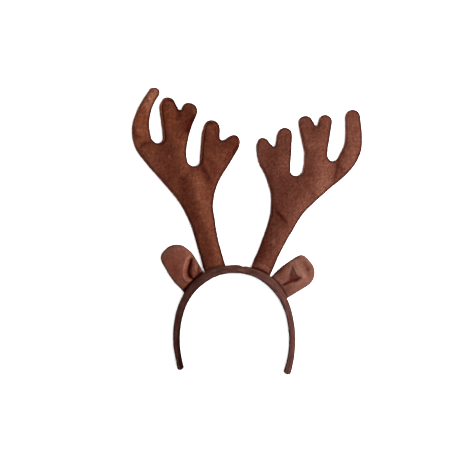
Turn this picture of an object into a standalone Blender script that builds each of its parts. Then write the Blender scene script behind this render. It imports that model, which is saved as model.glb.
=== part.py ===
"""A reindeer antler headband: a padded hoop that carries two felt antlers and two velour ears.

It lies on its back on the surface z = 0. The crown of the hoop points to +Y, the front faces +Z,
and the origin is under the middle of the crown. All sizes are in metres.
"""

import math
from collections import namedtuple

import bmesh
import bpy
import numpy as np
from mathutils import Vector
from mathutils.geometry import delaunay_2d_cdt

# Hoop
HOOP_SPAN = 0.127  # between the middles of the two legs, at the widest
HOOP_RISE = 0.077  # from the widest level up to the middle of the crown
HOOP_SQUARENESS = 2.16  # 2 would be half an ellipse
HOOP_THICKNESS = 0.0096  # in the plane of the hoop, at the thickest place
HOOP_DEPTH = 0.012  # from front to back
HOOP_EDGE_RADIUS = 0.0028
LEG_BEND_RADIUS = 0.121  # the legs turn inwards below the widest level
LEG_LENGTH_LEFT = 0.034
LEG_LENGTH_RIGHT = 0.039
LEG_END_ROUNDING = 0.0025

# Antlers
ANTLER_LEFT_WIDTH = 0.1194
ANTLER_LEFT_HEIGHT = 0.199  # above the middle of its seat
ANTLER_LEFT_OVERHANG = 0.0919  # of its left edge, from the middle of its seat
ANTLER_RIGHT_WIDTH = 0.1215
ANTLER_RIGHT_HEIGHT = 0.1777
ANTLER_RIGHT_OVERHANG = 0.0099
ANTLER_TINE_RADIUS = 0.008  # of the tip of a wide tine
ANTLER_GAP_RADIUS = 0.007  # of the bottom of a wide gap between tines
ANTLER_PADDING = 0.0078  # thickness where it is fullest
ANTLER_SEAM = 0.0026  # thickness at the sewn edge
ANTLER_PADDING_REACH = 0.0105  # how far from the edge it is full

# Ears
EAR_LEFT_WIDTH = 0.0473
EAR_LEFT_HEIGHT = 0.042
EAR_LEFT_OVERHANG = 0.0367
EAR_RIGHT_WIDTH = 0.0481
EAR_RIGHT_HEIGHT = 0.036
EAR_RIGHT_OVERHANG = 0.0088
EAR_CORNER_RADIUS = 0.0075  # of the tighter bend of an ear's rim
EAR_PADDING = 0.0095
EAR_SEAM = 0.003
EAR_PADDING_REACH = 0.010

# Seats, in degrees round the middle of the widest level, from the crown towards +X
ANTLER_LEFT_SEAT = (-23.7, -7.0)
ANTLER_RIGHT_SEAT = (13.3, 28.9)
EAR_LEFT_SEAT = (-47.2, -24.9)
EAR_RIGHT_SEAT = (30.8, 52.3)
SEAT_GAP = 0.0003  # between the hoop and what is sewn to it

# Fineness of the meshes
HOOP_PATH_STEPS = 3600
HOOP_RINGS = 56
OUTLINE_STEP = 0.0034
ARC_STEP = math.radians(24)
ANTLER_STEP = 0.0074
EAR_STEP = 0.0022
RIM_STEP = 0.0024  # from the outline to the row of points just inside it
ROW_SPACING = 0.6  # least distance between points of that row, as a share of OUTLINE_STEP
SPREAD_START = 0.35  # from that row to the even spread, as a share of the spread's step
FOLD_STEPS = 12

FELT_COLOUR = (0.142, 0.036, 0.021)
VELOUR_COLOUR = (0.216, 0.080, 0.054)
HOOP_COLOUR = (0.082, 0.034, 0.026)

# Thickness of the hoop as a share of HOOP_THICKNESS, from the right end over the crown to the left
HoopSection = namedtuple("HoopSection", "along thickness")
HOOP_SECTIONS = (
    HoopSection(0.00, 0.80),
    HoopSection(0.13, 0.72),
    HoopSection(0.22, 0.77),
    HoopSection(0.36, 1.00),
    HoopSection(0.51, 0.87),
    HoopSection(0.65, 1.00),
    HoopSection(0.75, 0.86),
    HoopSection(0.89, 0.79),
    HoopSection(0.96, 0.70),
    HoopSection(1.00, 0.73),
)

# A bend of an outline is an arc. Its middle is given in shares of the piece's width from its left
# edge and of its height from its seat. At a tip and a bulge the arc goes round the stuffing, and at
# a gap and a waist round the air. Its radius is a share of the tip radius, the gap radius or, at a
# bulge or a waist, the piece's width. The stretch that leads to a bend bows outwards by a share of
# its length, and so does the last stretch, back to the seat.
Bend = namedtuple("Bend", "kind across up radius bow")

ANTLER_LEFT_BENDS = (
    Bend("waist", -0.404, 0.023, 1.022, 0.0),
    Bend("bulge", 0.375, 0.76, 0.373, 0.0),
    Bend("tip", 0.21, 0.976, 0.633, 0.01),
    Bend("waist", 0.65, 0.792, 0.488, 0.0),
    Bend("gap", 0.227, 0.724, 0.896, 0.0),
    Bend("tip", 0.33, 0.908, 1.02, 0.0),
    Bend("gap", 0.447, 0.892, 0.424, 0.0),
    Bend("tip", 0.537, 0.875, 1.02, 0.0),
    Bend("waist", 1.221, 0.64, 0.719, 0.0),
    Bend("gap", 0.569, 0.604, 1.04, 0.0),
    Bend("tip", 0.735, 0.775, 1.18, 0.0),
    Bend("gap", 0.84, 0.725, 0.44, 0.0),
    Bend("tip", 0.943, 0.705, 0.88, 0.0),
    Bend("waist", 1.231, 0.363, 0.479, 0.0),
)
ANTLER_LEFT_LAST_BOW = -0.035
ANTLER_RIGHT_BENDS = (
    Bend("waist", -0.366, 0.447, 0.543, -0.02),
    Bend("bulge", 0.317, 0.751, 0.271, 0.0),
    Bend("tip", 0.099, 0.787, 0.81, 0.0),
    Bend("gap", 0.195, 0.785, 0.41, 0.0),
    Bend("tip", 0.302, 0.845, 0.98, 0.0),
    Bend("gap", 0.409, 0.628, 1.04, 0.0),
    Bend("tip", 0.489, 0.919, 0.95, -0.05),
    Bend("gap", 0.585, 0.916, 0.38, 0.0),
    Bend("tip", 0.667, 0.929, 0.89, 0.0),
    Bend("gap", 0.732, 0.719, 0.93, 0.0),
    Bend("waist", 0.588, 0.841, 0.263, 0.0),
    Bend("tip", 0.918, 0.955, 1.02, 0.0),
    Bend("bulge", 0.584, 0.825, 0.419, 0.0),
    Bend("waist", 1.252, -0.045, 0.978, 0.0),
)
EAR_LEFT_BENDS = (
    Bend("tip", 0.14, 0.673, 0.91, 0.03),
    Bend("bulge", 0.384, 0.529, 0.419, 0.0),
)
EAR_RIGHT_BENDS = (
    Bend("tip", 0.686, 0.78, 1.03, 0.03),
    Bend("bulge", 0.634, 0.456, 0.359, 0.0),
)

# A fold is a curve across the front, from its start by its middle to its end, in the same shares.
# Its width is a share of the piece's width, and its rise a share of the local thickness.
Fold = namedtuple("Fold", "start middle end width rise")

ANTLER_LEFT_FOLDS = (
    Fold((0.60, 0.56), (0.64, 0.36), (0.78, 0.08), 0.045, 0.12),
    Fold((0.62, 0.58), (0.66, 0.50), (0.72, 0.44), 0.03, -0.16),
    Fold((0.06, 0.71), (0.12, 0.70), (0.16, 0.72), 0.03, -0.14),
)
ANTLER_RIGHT_FOLDS = (
    Fold((0.75, 0.64), (0.74, 0.57), (0.72, 0.51), 0.03, -0.16),
    Fold((0.22, 0.38), (0.26, 0.35), (0.32, 0.31), 0.03, -0.14),
    Fold((0.12, 0.10), (0.24, 0.30), (0.38, 0.52), 0.04, 0.12),
)
EAR_LEFT_FOLDS = (
    Fold((0.745, 0.74), (0.63, 0.31), (0.735, 0.11), 0.075, -0.58),
    Fold((0.66, 0.70), (0.52, 0.36), (0.66, 0.05), 0.075, 0.2),
)
EAR_RIGHT_FOLDS = (
    Fold((0.235, 0.07), (0.475, 0.21), (0.67, 0.29), 0.07, -0.42),
    Fold((0.51, 0.57), (0.53, 0.42), (0.565, 0.32), 0.08, -0.3),
    Fold((0.29, -0.03), (0.52, 0.06), (0.75, 0.23), 0.07, 0.18),
    Fold((0.50, 0.76), (0.64, 0.60), (0.74, 0.35), 0.07, 0.10),
)

Sheet = namedtuple(
    "Sheet",
    "name width height overhang tip_radius gap_radius padding seam reach step seat bends last_bow folds",
)
SHEETS = (
    Sheet(
        name="antler_left",
        width=ANTLER_LEFT_WIDTH,
        height=ANTLER_LEFT_HEIGHT,
        overhang=ANTLER_LEFT_OVERHANG,
        tip_radius=ANTLER_TINE_RADIUS,
        gap_radius=ANTLER_GAP_RADIUS,
        padding=ANTLER_PADDING,
        seam=ANTLER_SEAM,
        reach=ANTLER_PADDING_REACH,
        step=ANTLER_STEP,
        seat=ANTLER_LEFT_SEAT,
        bends=ANTLER_LEFT_BENDS,
        last_bow=ANTLER_LEFT_LAST_BOW,
        folds=ANTLER_LEFT_FOLDS,
    ),
    Sheet(
        name="antler_right",
        width=ANTLER_RIGHT_WIDTH,
        height=ANTLER_RIGHT_HEIGHT,
        overhang=ANTLER_RIGHT_OVERHANG,
        tip_radius=ANTLER_TINE_RADIUS,
        gap_radius=ANTLER_GAP_RADIUS,
        padding=ANTLER_PADDING,
        seam=ANTLER_SEAM,
        reach=ANTLER_PADDING_REACH,
        step=ANTLER_STEP,
        seat=ANTLER_RIGHT_SEAT,
        bends=ANTLER_RIGHT_BENDS,
        last_bow=0.0,
        folds=ANTLER_RIGHT_FOLDS,
    ),
    Sheet(
        name="ear_left",
        width=EAR_LEFT_WIDTH,
        height=EAR_LEFT_HEIGHT,
        overhang=EAR_LEFT_OVERHANG,
        tip_radius=EAR_CORNER_RADIUS,
        gap_radius=EAR_CORNER_RADIUS,
        padding=EAR_PADDING,
        seam=EAR_SEAM,
        reach=EAR_PADDING_REACH,
        step=EAR_STEP,
        seat=EAR_LEFT_SEAT,
        bends=EAR_LEFT_BENDS,
        last_bow=0.0,
        folds=EAR_LEFT_FOLDS,
    ),
    Sheet(
        name="ear_right",
        width=EAR_RIGHT_WIDTH,
        height=EAR_RIGHT_HEIGHT,
        overhang=EAR_RIGHT_OVERHANG,
        tip_radius=EAR_CORNER_RADIUS,
        gap_radius=EAR_CORNER_RADIUS,
        padding=EAR_PADDING,
        seam=EAR_SEAM,
        reach=EAR_PADDING_REACH,
        step=EAR_STEP,
        seat=EAR_RIGHT_SEAT,
        bends=EAR_RIGHT_BENDS,
        last_bow=0.0,
        folds=EAR_RIGHT_FOLDS,
    ),
)


def clear_scene():
    for obj in list(bpy.data.objects):
        bpy.data.objects.remove(obj, do_unlink=True)


def make_material(name, colour, roughness):
    material = bpy.data.materials.new(name)
    material.use_nodes = True
    shader = material.node_tree.nodes["Principled BSDF"]
    shader.inputs["Base Color"].default_value = (*colour, 1.0)
    shader.inputs["Roughness"].default_value = roughness
    shader.inputs["Metallic"].default_value = 0.0
    return material


def add_object(name, mesh, material, collection):
    mesh.materials.append(material)
    mesh.shade_smooth()
    obj = bpy.data.objects.new(name, mesh)
    collection.objects.link(obj)
    return obj


# Hoop


def hoop_middle():
    """Evenly spaced points along the middle of the hoop, from the right end to the left end."""
    half_span = HOOP_SPAN / 2
    leg_middle = half_span - LEG_BEND_RADIUS
    leg_steps = HOOP_PATH_STEPS // 6
    crown_steps = HOOP_PATH_STEPS - 2 * leg_steps
    down_right = np.linspace(-LEG_LENGTH_RIGHT / LEG_BEND_RADIUS, 0, leg_steps, endpoint=False)
    down_left = np.linspace(0, LEG_LENGTH_LEFT / LEG_BEND_RADIUS, leg_steps + 1)[1:]
    over = np.linspace(0, math.pi, crown_steps + 1)
    power = 2 / HOOP_SQUARENESS
    right_leg = np.column_stack(
        (leg_middle + LEG_BEND_RADIUS * np.cos(down_right), LEG_BEND_RADIUS * np.sin(down_right))
    )
    crown = np.column_stack(
        (
            half_span * np.sign(np.cos(over)) * np.abs(np.cos(over)) ** power,
            HOOP_RISE * np.abs(np.sin(over)) ** power,
        )
    )
    left_leg = np.column_stack(
        (-leg_middle - LEG_BEND_RADIUS * np.cos(down_left), -LEG_BEND_RADIUS * np.sin(down_left))
    )
    path = np.concatenate((right_leg, crown, left_leg)) - (0, HOOP_RISE)
    return resampled(path, HOOP_PATH_STEPS)


def resampled(path, count):
    """The path again, as points at equal distances along it."""
    steps = np.linalg.norm(np.diff(path, axis=0), axis=1)
    along = np.concatenate(([0], np.cumsum(steps)))
    wanted = np.linspace(0, along[-1], count + 1)
    return np.column_stack([np.interp(wanted, along, path[:, axis]) for axis in (0, 1)])


def hoop_stations(path):
    """For each point of the hoop's middle: its share along, outward direction and thickness."""
    along = np.linspace(0, 1, len(path))
    forward = np.gradient(path, axis=0)
    forward /= np.linalg.norm(forward, axis=1)[:, None]
    outward = np.column_stack((forward[:, 1], -forward[:, 0]))
    places = [section.along for section in HOOP_SECTIONS]
    shares = [section.thickness for section in HOOP_SECTIONS]
    thickness = HOOP_THICKNESS * eased(along, places, shares)
    return along, outward, thickness


def eased(wanted, places, values):
    """Values between the rows of a table, with no corner at a row."""
    row = np.clip(np.searchsorted(places, wanted, side="right") - 1, 0, len(places) - 2)
    places = np.array(places)
    values = np.array(values)
    share = (wanted - places[row]) / (places[row + 1] - places[row])
    share = share * share * (3 - 2 * share)
    return values[row] + share * (values[row + 1] - values[row])


def hoop_section(half_thickness, inset):
    """The outline across the hoop as (outward, up) pairs, pulled in by inset at a rounded end."""
    half_depth = HOOP_DEPTH / 2
    radius = min(HOOP_EDGE_RADIUS, 0.9 * half_thickness, 0.9 * half_depth)
    across = (half_thickness - inset) / half_thickness
    deep = (half_depth - inset) / half_depth
    section = []
    for quarter in range(4):
        corner = math.radians(90 * quarter)
        side = 1 if quarter in (0, 3) else -1
        top = 1 if quarter < 2 else -1
        for step in range(3):
            angle = corner + math.radians(45 * step)
            outward = side * (half_thickness - radius) + radius * math.cos(angle)
            up = top * (half_depth - radius) + radius * math.sin(angle)
            section.append((outward * across, half_depth + up * deep))
    return section


def make_hoop(path, material, collection):
    """The hoop, lofted through sections along its middle, its two ends rounded."""
    along, outward, thickness = hoop_stations(path)
    length = np.linalg.norm(np.diff(path, axis=0), axis=1).sum()
    rounding = min(LEG_END_ROUNDING, 0.45 * thickness[0], 0.45 * thickness[-1])
    end_steps = [rounding * share / length for share in (0.0, 0.12, 0.45)]
    inner = np.linspace(rounding / length, 1 - rounding / length, HOOP_RINGS)
    stations = end_steps + list(inner) + [1 - step for step in reversed(end_steps)]
    mesh = bmesh.new()
    rings = []
    for station in stations:
        middle = [np.interp(station, along, path[:, axis]) for axis in (0, 1)]
        facing = [np.interp(station, along, outward[:, axis]) for axis in (0, 1)]
        from_end = min(station, 1 - station) * length
        missing = max(0.0, rounding - from_end)
        inset = rounding - math.sqrt(rounding**2 - missing**2)
        half_thickness = np.interp(station, along, thickness) / 2
        ring = []
        for out, up in hoop_section(half_thickness, inset):
            place = (middle[0] + out * facing[0], middle[1] + out * facing[1], up)
            ring.append(mesh.verts.new(place))
        rings.append(ring)
    for ring, following in zip(rings, rings[1:]):
        for i in range(len(ring)):
            j = (i + 1) % len(ring)
            mesh.faces.new((ring[i], ring[j], following[j], following[i]))
    mesh.faces.new(rings[0])
    mesh.faces.new(rings[-1])
    bmesh.ops.recalc_face_normals(mesh, faces=mesh.faces)
    data = bpy.data.meshes.new("headband")
    mesh.to_mesh(data)
    mesh.free()
    return add_object("headband", data, material, collection)


def seat_line(path, seat):
    """Points just off the outer face of the hoop between the two angles of a seat."""
    _, outward, thickness = hoop_stations(path)
    face = path + outward * (thickness / 2 + SEAT_GAP)[:, None]
    angle = np.degrees(np.arctan2(face[:, 0], face[:, 1] + HOOP_RISE))
    crown = (face[:, 1] > -HOOP_RISE).nonzero()[0]
    angle = angle[crown][::-1]
    face = face[crown][::-1]
    arc = math.radians(seat[1] - seat[0]) * HOOP_RISE
    wanted = np.linspace(seat[0], seat[1], 1 + max(2, round(arc / OUTLINE_STEP)))
    return np.column_stack([np.interp(wanted, angle, face[:, axis]) for axis in (0, 1)])


# Padded pieces sewn at their edge


def tangent(first, first_radius, second, second_radius):
    """Where the straight line that touches both arcs leaves the first and meets the second."""
    apart = second - first
    distance = np.linalg.norm(apart)
    ahead = apart / distance
    left = np.array((-ahead[1], ahead[0]))
    # Where one arc holds the other there is no such line, and the nearest is taken
    sine = np.clip((second_radius - first_radius) / distance, -0.999, 0.999)
    heading_left = math.sqrt(1 - sine**2) * left - sine * ahead
    return first + first_radius * heading_left, second + second_radius * heading_left


def stretch(start, end, bow):
    """Points from start to just before end, bowed to the left, with no corner at either end."""
    run = end - start
    length = np.linalg.norm(run)
    share = np.arange(0, 1, 1 / max(1, round(length / OUTLINE_STEP)))
    left = np.array((-run[1], run[0]))
    return start + share[:, None] * run + (bow * (1 - np.cos(2 * math.pi * share)) / 2)[:, None] * left


def arc(middle, start, end, turn):
    """Points from start to just before end on a circle, clockwise where turn is 1."""
    first = math.atan2(*(start - middle)[::-1])
    last = math.atan2(*(end - middle)[::-1])
    sweep = (turn * (first - last)) % (2 * math.pi)
    # No bend turns this far, so its two lines have passed each other and meet in a corner
    if sweep > 1.5 * math.pi:
        return np.array([start])
    radius = np.linalg.norm(start - middle)
    steps = max(1, round(sweep / min(ARC_STEP, 1.4 * OUTLINE_STEP / radius)))
    angles = first - turn * np.arange(steps) / steps * sweep
    return middle + radius * np.column_stack((np.cos(angles), np.sin(angles)))


def sheet_place(sheet, seat, across, up):
    """The point of the plane at these shares of the piece's width and height."""
    left, bottom = (seat[0] + seat[-1]) / 2 - (sheet.overhang, 0)
    return np.array((left + across * sheet.width, bottom + up * sheet.height))


def signed_radius(sheet, bend):
    """The radius of a bend, below 0 where the arc goes round the air."""
    unit = {
        "tip": sheet.tip_radius,
        "gap": -sheet.gap_radius,
        "bulge": sheet.width,
        "waist": -sheet.width,
    }
    return bend.radius * unit[bend.kind]


def sheet_outline(sheet, seat):
    """The closed outline of a padded piece, clockwise from the left corner of its seat."""
    middles = [sheet_place(sheet, seat, bend.across, bend.up) for bend in sheet.bends]
    middles = [seat[0], *middles, seat[-1]]
    radii = [0.0, *(signed_radius(sheet, bend) for bend in sheet.bends), 0.0]
    bows = [bend.bow for bend in sheet.bends] + [sheet.last_bow]
    lines = [
        tangent(middles[i], radii[i], middles[i + 1], radii[i + 1]) for i in range(len(bows))
    ]
    points = []
    for i, (start, end) in enumerate(lines):
        points.append(stretch(start, end, bows[i]))
        if i + 1 < len(lines):
            turn = math.copysign(1, radii[i + 1])
            points.append(arc(middles[i + 1], end, lines[i + 1][0], turn))
    points.append(seat[:0:-1])
    return np.concatenate(points)


def nearest(points, line):
    """Distance from each point to a line given as its corners."""
    start = line[:-1]
    run = line[1:] - start
    share = ((points[:, None] - start) * run).sum(axis=2) / (run**2).sum(axis=1)
    share = np.clip(share, 0, 1)[:, :, None]
    return np.linalg.norm(points[:, None] - start - share * run, axis=2).min(axis=1)


def inside(points, outline):
    """Whether each point lies inside the closed outline."""
    x, y = points[:, :1], points[:, 1:]
    x0, y0 = outline.T
    x1, y1 = np.roll(outline, -1, axis=0).T
    rising = (y0 > y) != (y1 > y)
    with np.errstate(divide="ignore", invalid="ignore"):
        crossing = x < x0 + (y - y0) * (x1 - x0) / (y1 - y0)
    return (rising & crossing).sum(axis=1) % 2 == 1


def inner_points(outline, step):
    """Points inside the outline: a row just inside the seam, and an even spread over the rest."""
    closed = np.concatenate((outline, outline[:1]))
    run = np.diff(closed, axis=0)
    inward = np.column_stack((run[:, 1], -run[:, 0])) / np.linalg.norm(run, axis=1)[:, None]
    row = outline + run / 2 + RIM_STEP * inward
    row = row[inside(row, outline)]
    row = row[nearest(row, closed) > 0.85 * RIM_STEP]  # not those that crowd a tight gap
    row = apart_by(row, ROW_SPACING * OUTLINE_STEP)
    low, high = outline.min(axis=0), outline.max(axis=0)
    spread = []
    for i, y in enumerate(np.arange(low[1], high[1], step * math.sqrt(3) / 2)):
        start = low[0] + (i % 2) * step / 2
        spread.extend((x, y) for x in np.arange(start, high[0], step))
    spread = np.array(spread)
    spread = spread[inside(spread, outline)]
    spread = spread[nearest(spread, closed) > RIM_STEP + SPREAD_START * step]
    return np.concatenate((row, spread))


def apart_by(points, distance):
    """The points, less each that is nearer than distance to one kept before it."""
    kept = []
    for point in points:
        if all(np.linalg.norm(point - other) > distance for other in kept):
            kept.append(point)
    return np.array(kept)


def dome(share):
    """Rises like a quarter circle from 0 at the seam to 1 at full reach."""
    return np.sqrt(1 - (1 - np.clip(share, 0, 1)) ** 2)


def fold_rise(points, sheet, seat):
    """Rise of the front at each point, as a share of the local thickness."""
    along = np.linspace(0, 1, FOLD_STEPS + 1)[:, None]
    rise = np.zeros(len(points))
    for fold in sheet.folds:
        start, middle, end = (sheet_place(sheet, seat, *place) for place in fold[:3])
        bent = 2 * middle - (start + end) / 2
        line = (1 - along) ** 2 * start + 2 * along * (1 - along) * bent + along**2 * end
        away = nearest(points, line) / (fold.width * sheet.width)
        rise += fold.rise * np.exp(-(away**2))
    return rise


def make_sheet(sheet, path, material, collection):
    """A piece of two layers sewn along their edge and stuffed, seated on the hoop."""
    seat = seat_line(path, sheet.seat)
    outline = sheet_outline(sheet, seat)
    flat = np.concatenate((outline, inner_points(outline, sheet.step)))
    count = len(outline)
    seam = [(i, (i + 1) % count) for i in range(count)]
    places, _, faces, _, _, _ = delaunay_2d_cdt([Vector(p) for p in flat], seam, [], 1, 1e-7)
    places = np.array(places)
    closed = np.concatenate((outline, outline[:1]))
    fullness = dome(nearest(places, closed) / sheet.reach)
    thickness = sheet.seam + (sheet.padding - sheet.seam) * fullness
    up = (places[:, 1] - sheet_place(sheet, seat, 0, 0)[1]) / sheet.height
    seat_height = HOOP_DEPTH / 2
    far_height = sheet.padding / 2
    middle = seat_height + (far_height - seat_height) * np.clip(up, 0, 1)
    front = middle + thickness * (0.5 + fold_rise(places, sheet, seat) * fullness)
    back = middle - thickness / 2
    mesh = bmesh.new()
    back_verts = [mesh.verts.new((*place, z)) for place, z in zip(places, back)]
    front_verts = [mesh.verts.new((*place, z)) for place, z in zip(places, front)]
    for face in faces:
        mesh.faces.new([front_verts[i] for i in face])
        mesh.faces.new([back_verts[i] for i in reversed(face)])
    for i, j in open_edges(faces):
        mesh.faces.new((front_verts[j], front_verts[i], back_verts[i], back_verts[j]))
    bmesh.ops.recalc_face_normals(mesh, faces=mesh.faces)
    data = bpy.data.meshes.new(sheet.name)
    mesh.to_mesh(data)
    mesh.free()
    return add_object(sheet.name, data, material, collection)


def open_edges(faces):
    """The edges that only one face has, in that face's direction."""
    edges = {(face[i - 1], face[i]) for face in faces for i in range(len(face))}
    return [(i, j) for i, j in edges if (j, i) not in edges]


def main():
    clear_scene()
    bpy.context.scene.unit_settings.scale_length = 1.0
    collection = bpy.data.collections.new("reindeer_antler_headband")
    bpy.context.scene.collection.children.link(collection)
    felt = make_material("brown_felt", FELT_COLOUR, 0.95)
    velour = make_material("brown_velour", VELOUR_COLOUR, 0.9)
    fabric = make_material("dark_brown_fabric", HOOP_COLOUR, 0.8)
    path = hoop_middle()
    make_hoop(path, fabric, collection)
    for sheet in SHEETS:
        make_sheet(sheet, path, felt if sheet.name.startswith("antler") else velour, collection)


main()
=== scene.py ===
"""Looks of the reindeer antler headband: felt antlers, velour ears and a fabric-wrapped hoop.

Everything is in metres, in the frame of the CAD part: the headband lies on its back on z = 0, the
crown of the hoop points to +Y and the front faces +Z. Only the tables of lines are in pixels of
the photograph, and the widths and heights of folds, dents and strokes in millimetres.
"""

import math

import bmesh
import bpy
import numpy as np
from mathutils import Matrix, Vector
from mathutils.geometry import delaunay_2d_cdt


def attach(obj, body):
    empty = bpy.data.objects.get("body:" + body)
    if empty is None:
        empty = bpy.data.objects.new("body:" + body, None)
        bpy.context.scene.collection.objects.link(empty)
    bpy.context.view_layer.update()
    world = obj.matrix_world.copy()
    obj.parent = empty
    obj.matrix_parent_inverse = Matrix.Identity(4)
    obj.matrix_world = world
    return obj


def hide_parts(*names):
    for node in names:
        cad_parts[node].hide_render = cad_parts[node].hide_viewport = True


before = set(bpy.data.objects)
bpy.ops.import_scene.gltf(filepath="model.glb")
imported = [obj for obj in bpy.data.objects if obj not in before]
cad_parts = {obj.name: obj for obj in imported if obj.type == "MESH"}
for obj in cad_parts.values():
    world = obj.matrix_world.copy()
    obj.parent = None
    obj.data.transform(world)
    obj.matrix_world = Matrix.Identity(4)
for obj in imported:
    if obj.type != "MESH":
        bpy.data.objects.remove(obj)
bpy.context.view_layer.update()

MM = 0.001

# The photograph: 476 pixels square, seen from straight above
PHOTO_SIDE = 476
PIXEL = 0.0011
ORIGIN_PIXEL = (234.3, 269.1)

# Camera
CAMERA_HEIGHT = 1.7
SENSOR_WIDTH = 36.0
FOCUS_HEIGHT = 0.006

# Light and floor
WORLD_STRENGTH = 0.62
LIGHT_AIM = (0.0, 0.03, 0.0)
# Name, place, size, power and colour
LIGHTS = (
    ("key", (0.44, 0.20, 0.56), 0.30, 11.5, (1.0, 0.98, 0.95)),
    ("top", (0.1, 0.1, 1.5), 1.2, 26.0, (1.0, 1.0, 1.0)),
)
KEY_SIDE = (0.91, 0.41)  # direction along the floor towards the key light
FLOOR_HALF = 3.0
FLOOR_COLOUR = (0.94, 0.94, 0.94, 1.0)
FLOOR_DROP = 0.0001  # keeps the floor clear of the cloth

# Antlers
FELT_STEP = 0.0009  # between the points of the cut edge
FELT_SPREAD = 0.0013  # between the points inside
FELT_INSETS = (
    0.0003, 0.0008, 0.0013, 0.0018, 0.0023, 0.0028, 0.0033, 0.0038, 0.0044, 0.0052, 0.0062
)
FLANGE_NARROW = 0.0017  # from the cut edge to the stitches
FLANGE_WIDE = 0.0032  # the same where the felt was left wide
WIDE_REACH = 0.0035  # over which the one turns into the other
FLANGE_HALF = 0.00115
GROOVE_HALF = 0.0007
GROOVE_WIDTH = 0.00050
STITCH_PITCH = 0.0029
STITCH_LENGTH = 0.0020
STITCH_RADIUS = 0.00024
STITCH_RINGS = 6
STITCH_SIDES = 6
FELT_HALF = 0.0052  # of the stuffed body where it is widest
FELT_FULLNESS = 0.009  # half width at which the body is nearly as thick as that
FELT_BACK_SHARE = 0.62  # the back is flatter, because it lies on the surface
SEAM_SOFTNESS = 0.005  # the higher, the flatter a body leaves its seam
SKIN_GRID = 0.00125  # on which the stuffed shapes are worked out
SKIN_ROUNDS = 1400
FELT_WAVE = 0.022  # length of the long unevenness
BODY_FULL = 0.004  # distance from the seam at which it has its full height
CUT_ROUNDING = 0.0004
CUT_SHADE = 0.0010  # width of the darker cut edge
SEAT_CLEAR = 0.002  # distance from the hoop at which the seam ends
LOWEST = 0.0003  # the cloth stays this far above the surface

# Ears
EAR_STEP = 0.0005
EAR_INSETS = (0.0002, 0.0005, 0.0009, 0.0014, 0.0019, 0.0024, 0.0030)
EAR_HALF = 0.0062
EAR_FULLNESS = 0.010
EAR_BACK_SHARE = 0.75

# The strip between front and back: outward push, height from back 0 to front 1, and tone, darkened
# as painted shade on the rolled side
FELT_EDGE = (
    (0.0001, 0.85, 0.40), (0.0, 0.56, 0.36), (-0.00035, 0.5, 0.25), (0.0, 0.44, 0.36),
    (0.0001, 0.15, 0.40),
)
EAR_EDGE = ((0.0001, 0.7, 0.75), (-0.0001, 0.5, 0.6), (0.0001, 0.3, 0.75))

# How far a sewn base reaches past its solid, to touch the hoop
SEAM_CONTACT = 0.00028
SEAM_CONTACT_RIGHT = 0.0013  # of the right antler, whose seat the sleeve is drawn in from

# Hoop: the part's own line and depth, with the sleeve's thickness as the photograph shows it
HOOP_SPAN = 0.127
HOOP_RISE = 0.077
HOOP_SQUARENESS = 2.16
HOOP_THICKNESS = 0.0096
HOOP_DEPTH = 0.012
LEG_BEND_RADIUS = 0.121
LEG_DRIFT = 0.0004  # how far both ends of the legs stand to the right
LEG_DRIFT_FROM = (-0.060, -0.078)  # heights below which the right and the left leg do
LEG_DRIFT_OVER = 0.022
LEG_LENGTH_LEFT = 0.034
LEG_LENGTH_RIGHT = 0.039
BAND_RINGS = 620
BAND_SIDES = 64
BAND_SQUARENESS = 3.2  # of the section
END_ROUNDING = 0.0028
HALF_SECTION = 0.005  # half of the section's size, about
LOOP_RADIUS = 0.0055  # of the sleeve, for its wrinkles
GATHERS = 9  # round each end
SEAM_ANGLE = math.radians(140)  # round the section, from its outer side
CROWN_FROM = -0.02  # height above which the sleeve is drawn in
# Share of the way from the right end to the left end, and the share of HOOP_THICKNESS there
HOOP_SECTIONS = (
    (0.00, 0.80), (0.13, 0.72), (0.22, 0.77), (0.36, 1.00), (0.51, 0.89), (0.64, 1.10),
    (0.75, 0.90), (0.89, 0.79), (0.96, 0.70), (1.00, 0.73),
)


def spot(x, y):
    """The point of the part at a pixel of the photograph."""
    return np.array(((x - ORIGIN_PIXEL[0]) * PIXEL, (ORIGIN_PIXEL[1] - y) * PIXEL))


def line_at(pixels):
    """The points of a line given as its first pixel x, y and then its steps right and down."""
    return spot(*np.cumsum(np.reshape(pixels, (-1, 2)), axis=0).T).T


# Camera, light and floor


def placed(name, data):
    """A new object in the scene."""
    thing = bpy.data.objects.new(name, data)
    bpy.context.scene.collection.objects.link(thing)
    return thing


def feed(node, inputs):
    """Sets inputs of a shader node, by name or number, or links other nodes' outputs to them."""
    for key, value in inputs.items():
        if isinstance(value, bpy.types.NodeSocket):
            node.id_data.links.new(value, node.inputs[key])
        else:
            node.inputs[key].default_value = value


def make_camera():
    """A camera straight above the middle of the photograph."""
    data = bpy.data.cameras.new("camera")
    data.sensor_width = SENSOR_WIDTH
    data.lens = SENSOR_WIDTH * (CAMERA_HEIGHT - FOCUS_HEIGHT) / (PHOTO_SIDE * PIXEL)
    camera = placed("camera", data)
    camera.location = (*spot(PHOTO_SIDE / 2, PHOTO_SIDE / 2), CAMERA_HEIGHT)
    bpy.context.scene.camera = camera


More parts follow.
